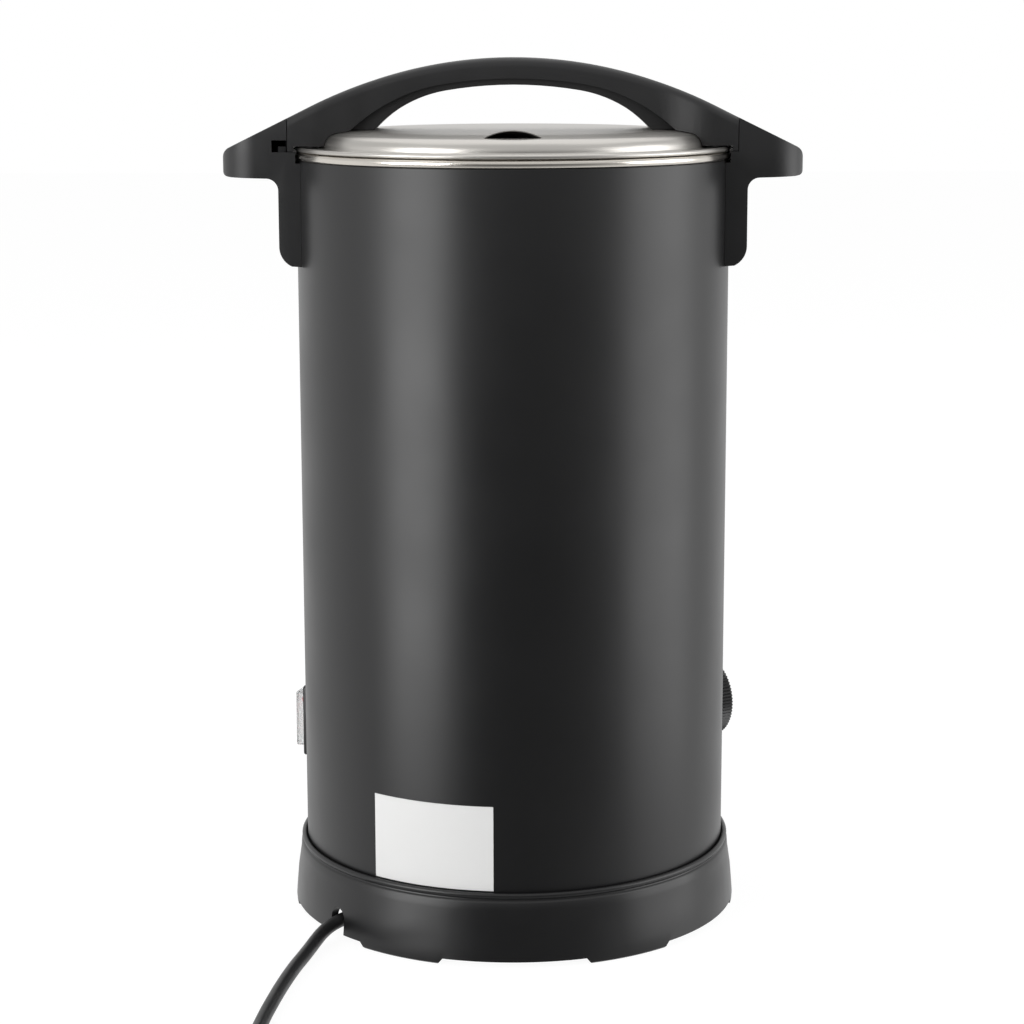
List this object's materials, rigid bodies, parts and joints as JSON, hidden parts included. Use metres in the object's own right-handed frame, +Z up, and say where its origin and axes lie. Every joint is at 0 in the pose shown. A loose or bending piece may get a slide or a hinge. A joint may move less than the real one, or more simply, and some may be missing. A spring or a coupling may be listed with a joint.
{
  "type": "electric wax melter",
  "caption": "Electric candle wax melter: a tall double-walled steel pot with a turning lid under two side grips, a ball-valve tap, a rotary thermostat knob and a mains lead.",
  "frame": {"origin": "on the pot's axis, in the plane that the base's feet stand on", "axes": "+Z up along the pot's axis, -Y towards the tap (front), the side grips along X"},
  "size_m": [0.2444, 0.4567, 0.3684],
  "materials": {
    "black_paint": "satin",
    "steel_sheet": "satin",
    "base_plastic": "fine grain",
    "handle_plastic": "fine grain",
    "cover_plastic": "smooth",
    "plated_steel": "zinc plated",
    "label_film": "satin",
    "silicone": "matte",
    "cast_aluminium": "as cast",
    "element_sheath": "heat darkened",
    "copper": "drawn",
    "moulded_resin": "moulded",
    "dial_metal": "satin",
    "ceramic": "bisque",
    "switch_plastic": "smooth",
    "red_plastic": "gloss",
    "clear_cap": "gloss",
    "lamp_red": "gloss",
    "valve_steel": "polished",
    "seat_plastic": "smooth",
    "red_sleeve": "dipped",
    "cord_rubber": "satin",
    "tie_plastic": "smooth",
    "plated_brass": "nickel plated"
  },
  "bodies": {
    "pot_body": {"outer_shell": "black_paint", "inner_pot": "steel_sheet", "pot_floor": "steel_sheet", "base_ring": "base_plastic", "bottom_plate": "plated_steel", "bottom_screws": "plated_steel", "rating_plate": "label_film", "grip_left": "handle_plastic", "grip_right": "handle_plastic", "grip_screw_1": "plated_steel", "grip_screw_2": "plated_steel", "grip_screw_3": "plated_steel", "grip_screw_4": "plated_steel", "heater_plate": "cast_aluminium", "heater_element": "element_sheath", "heater_clamp": "plated_steel", "clamp_stud": "plated_steel", "thermostat": "moulded_resin", "thermostat_bulb": "copper", "dial_plate": "dial_metal", "thermal_cutout": "ceramic", "terminal_block": "moulded_resin", "switch_body": "switch_plastic", "switch_frame": "base_plastic", "switch_cap": "clear_cap", "lamp_lens": "lamp_red", "lamp_body": "switch_plastic", "tap_body": "valve_steel", "tap_spout": "valve_steel", "tap_seat_inner": "seat_plastic", "tap_seat_outer": "seat_plastic", "packing_nut": "valve_steel", "tap_outer_washer": "silicone", "tap_spacer": "valve_steel", "tap_inner_washer": "silicone", "tap_lock_nut": "valve_steel", "cord_elbow": "cord_rubber", "power_cord": "cord_rubber", "cord_coil": "cord_rubber", "cord_tail": "cord_rubber", "cord_tie": "tie_plastic", "plug": "cord_rubber", "plug_pins": "plated_brass"},
    "lid_seal": {"lid_gasket": "silicone"},
    "lid": {"lid_plate": "steel_sheet", "lid_handle": "handle_plastic", "handle_cover": "cover_plastic", "handle_screw_1": "plated_steel", "handle_screw_2": "plated_steel", "handle_screw_3": "plated_steel", "handle_screw_4": "plated_steel"},
    "knob": {"knob": "base_plastic", "knob_spindle": "plated_steel"},
    "rocker": {"rocker": "red_plastic"},
    "lever": {"tap_lever": "valve_steel", "lever_sleeve": "red_sleeve", "lever_nut": "valve_steel", "tap_stem": "valve_steel", "tap_ball": "valve_steel"}
  },
  "joints": [
    {"name": "lid_lift", "type": "slide", "parent": "pot_body", "child": "lid_seal", "axis": [0, 0, 1], "range_m": [0, 0.15]},
    {"name": "lid_turn", "type": "hinge", "parent": "lid_seal", "child": "lid", "pos_m": [0, 0, 0.33], "axis": [0, 0, 1], "range_deg": [0, 20]},
    {"name": "knob_turn", "type": "hinge", "parent": "pot_body", "child": "knob", "pos_m": [-0.07972, -0.04981, 0.075], "axis": [-0.848, -0.5299, 0], "range_deg": [0, 270]},
    {"name": "rocker_tilt", "type": "hinge", "parent": "pot_body", "child": "rocker", "pos_m": [0.08824, -0.0253, 0.075], "axis": [-0.2756, -0.9613, 0], "range_deg": [0, 16]},
    {"name": "lever_turn", "type": "hinge", "parent": "pot_body", "child": "lever", "pos_m": [0, -0.113, 0.122], "axis": [0, 0, -1], "range_deg": [0, 90]}
  ]
}
